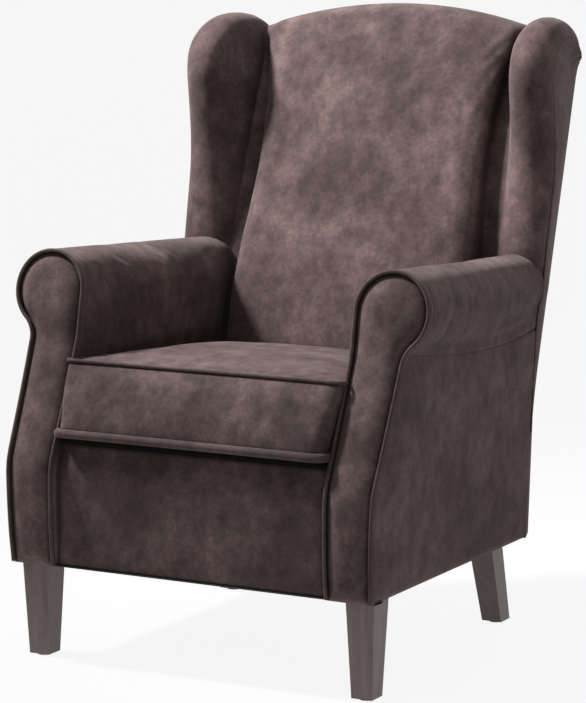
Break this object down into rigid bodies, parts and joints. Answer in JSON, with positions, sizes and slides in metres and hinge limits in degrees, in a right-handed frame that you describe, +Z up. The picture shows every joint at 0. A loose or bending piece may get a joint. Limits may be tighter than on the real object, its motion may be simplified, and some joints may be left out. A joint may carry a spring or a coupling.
{
  "type": "wing chair",
  "caption": "Upholstered wing chair with scroll arms, piped arm fronts, an arched back, tapered wooden legs and a loose box seat cushion that lifts out.",
  "frame": {"origin": "on the floor, in the middle of the chair's overall width and depth", "axes": "+Z up, -Y out of the front of the seat, +X to the right of someone facing the chair"},
  "size_m": [0.762, 0.8188, 1.06],
  "materials": {
    "suede": "matte",
    "suede_piping": "matte",
    "foam": "matte",
    "deck_cloth": "matte",
    "webbing": "matte",
    "dust_cloth": "matte",
    "leg_wood": "satin",
    "frame_wood": "matte",
    "hardboard": "matte",
    "steel": "satin",
    "glide_plastic": "matte"
  },
  "bodies": {
    "chair": {"back_lower_rail": "frame_wood", "back_pad": "suede", "back_webbing": "webbing", "corner_blocks": "frame_wood", "corner_screws": "steel", "crest_rail": "frame_wood", "dust_cover": "dust_cloth", "front_border": "suede", "front_seat_rail": "frame_wood", "front_spring_rail": "frame_wood", "left_arm_facing": "suede", "left_arm_lining": "hardboard", "left_arm_pad": "suede", "left_arm_post": "frame_wood", "left_arm_rail": "frame_wood", "left_arm_tack_rail": "frame_wood", "left_back_post": "frame_wood", "left_facing_welt": "suede_piping", "left_front_leg": "leg_wood", "left_outside_arm": "suede", "left_outside_wing": "suede", "left_rear_leg": "leg_wood", "left_seat_rail": "frame_wood", "left_wing_board": "frame_wood", "left_wing_pad": "suede", "leg_bolts": "steel", "leg_glides": "glide_plastic", "leg_inserts": "steel", "outside_back": "suede", "rear_seat_rail": "frame_wood", "rear_spring_rail": "frame_wood", "right_arm_facing": "suede", "right_arm_lining": "hardboard", "right_arm_pad": "suede", "right_arm_post": "frame_wood", "right_arm_rail": "frame_wood", "right_arm_tack_rail": "frame_wood", "right_back_post": "frame_wood", "right_facing_welt": "suede_piping", "right_front_leg": "leg_wood", "right_outside_arm": "suede", "right_outside_wing": "suede", "right_rear_leg": "leg_wood", "right_seat_rail": "frame_wood", "right_wing_board": "frame_wood", "right_wing_pad": "suede", "seat_deck": "deck_cloth", "seat_springs": "steel", "spring_clips": "steel"},
    "seat_cushion": {"cushion_cover": "suede", "cushion_core": "foam", "cushion_bottom_welt": "suede_piping", "cushion_top_welt": "suede_piping"}
  },
  "joints": [
    {"name": "cushion_lift_out", "type": "slide", "parent": "chair", "child": "seat_cushion", "axis": [0, -0.866, 0.5], "range_m": [0, 0.66]}
  ]
}
